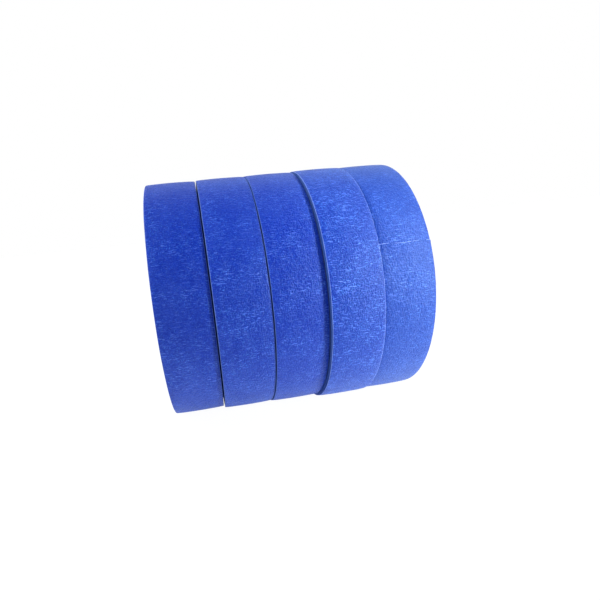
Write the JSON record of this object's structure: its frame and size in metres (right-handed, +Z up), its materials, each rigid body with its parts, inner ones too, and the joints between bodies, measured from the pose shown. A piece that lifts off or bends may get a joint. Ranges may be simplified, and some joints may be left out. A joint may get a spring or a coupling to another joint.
{
  "type": "masking tape roll",
  "caption": "Row of wound masking tape rolls standing side by side on their treads, each a paper core, a coil of blue crepe tape, its last turn and a loose end.",
  "frame": {"origin": "on the ground, under the middle of the row's bounding box", "axes": "+X along the rolls' axes, from the first roll to the fifth; +Y to the back of the row, away from the fifth roll's free edge; +Z up"},
  "size_m": [0.1216, 0.1272, 0.1205],
  "materials": {
    "tape_crepe": "saturated blue crepe paper, satin saturant, fine cross-tape crinkle",
    "tape_edges": "slit edges of the wound blue tape, matt, fine concentric lines",
    "core_liner": "smooth kraft liner paper",
    "core_board": "grey-brown spiral-wound board, matt, cut edges"
  },
  "bodies": {
    "roll_1": {"core_inner_ply_1": "core_liner", "core_body_plies_1": "core_board", "core_outer_ply_1": "core_liner", "tape_coil_1": "tape_edges"},
    "turn_1": {"outer_turn_1": "tape_crepe"},
    "tail_1": {"tape_tail_1": "tape_crepe"},
    "roll_2": {"core_inner_ply_2": "core_liner", "core_body_plies_2": "core_board", "core_outer_ply_2": "core_liner", "tape_coil_2": "tape_edges"},
    "turn_2": {"outer_turn_2": "tape_crepe"},
    "tail_2": {"tape_tail_2": "tape_crepe"},
    "roll_3": {"core_inner_ply_3": "core_liner", "core_body_plies_3": "core_board", "core_outer_ply_3": "core_liner", "tape_coil_3": "tape_edges"},
    "turn_3": {"outer_turn_3": "tape_crepe"},
    "tail_3": {"tape_tail_3": "tape_crepe"},
    "roll_4": {"core_inner_ply_4": "core_liner", "core_body_plies_4": "core_board", "core_outer_ply_4": "core_liner", "tape_coil_4": "tape_edges"},
    "turn_4": {"outer_turn_4": "tape_crepe"},
    "tail_4": {"tape_tail_4": "tape_crepe"},
    "roll_5": {"core_inner_ply_5": "core_liner", "core_body_plies_5": "core_board", "core_outer_ply_5": "core_liner", "tape_coil_5": "tape_edges"},
    "turn_5": {"outer_turn_5": "tape_crepe"},
    "tail_5": {"tape_tail_5": "tape_crepe"}
  },
  "joints": [
    {"name": "take_off_2", "type": "slide", "parent": "roll_3", "child": "roll_2", "axis": [-1, 0, 0], "range_m": [0, 0.09]},
    {"name": "take_off_1", "type": "slide", "parent": "roll_2", "child": "roll_1", "axis": [-1, 0, 0], "range_m": [0, 0.09]},
    {"name": "take_off_4", "type": "slide", "parent": "roll_3", "child": "roll_4", "axis": [1, 0, 0], "range_m": [0, 0.09]},
    {"name": "take_off_5", "type": "slide", "parent": "roll_4", "child": "roll_5", "axis": [1, 0, 0], "range_m": [0, 0.09]},
    {"name": "unwind_1", "type": "hinge", "parent": "roll_1", "child": "turn_1", "pos_m": [-0.0488, 0.0034, 0.06025], "axis": [1, 0, 0], "continuous": true},
    {"name": "peel_1", "type": "hinge", "parent": "turn_1", "child": "tail_1", "pos_m": [-0.0488, 0.03359, 0.11245], "axis": [1, 0, 0], "range_deg": [0, 110]},
    {"name": "unwind_2", "type": "hinge", "parent": "roll_2", "child": "turn_2", "pos_m": [-0.0242, 0.0009, 0.06025], "axis": [1, 0, 0], "continuous": true},
    {"name": "peel_2", "type": "hinge", "parent": "turn_2", "child": "tail_2", "pos_m": [-0.0242, 0.0612, 0.0602], "axis": [1, 0, 0], "range_deg": [0, 110]},
    {"name": "unwind_3", "type": "hinge", "parent": "roll_3", "child": "turn_3", "pos_m": [0.0001, 0.0001, 0.06025], "axis": [1, 0, 0], "continuous": true},
    {"name": "peel_3", "type": "hinge", "parent": "turn_3", "child": "tail_3", "pos_m": [0.0001, 0.0054, 0.12032], "axis": [1, 0, 0], "range_deg": [0, 110]},
    {"name": "unwind_4", "type": "hinge", "parent": "roll_4", "child": "turn_4", "pos_m": [0.0244, -0.0034, 0.06025], "axis": [1, 0, 0], "continuous": true},
    {"name": "peel_4", "type": "hinge", "parent": "turn_4", "child": "tail_4", "pos_m": [0.0244, 0.04602, 0.0948], "axis": [1, 0, 0], "range_deg": [0, 110]},
    {"name": "unwind_5", "type": "hinge", "parent": "roll_5", "child": "turn_5", "pos_m": [0.0488, -0.0015, 0.06025], "axis": [1, 0, 0], "continuous": true},
    {"name": "peel_5", "type": "hinge", "parent": "turn_5", "child": "tail_5", "pos_m": [0.0488, -0.06179, 0.06135], "axis": [1, 0, 0], "range_deg": [0, 110]}
  ]
}
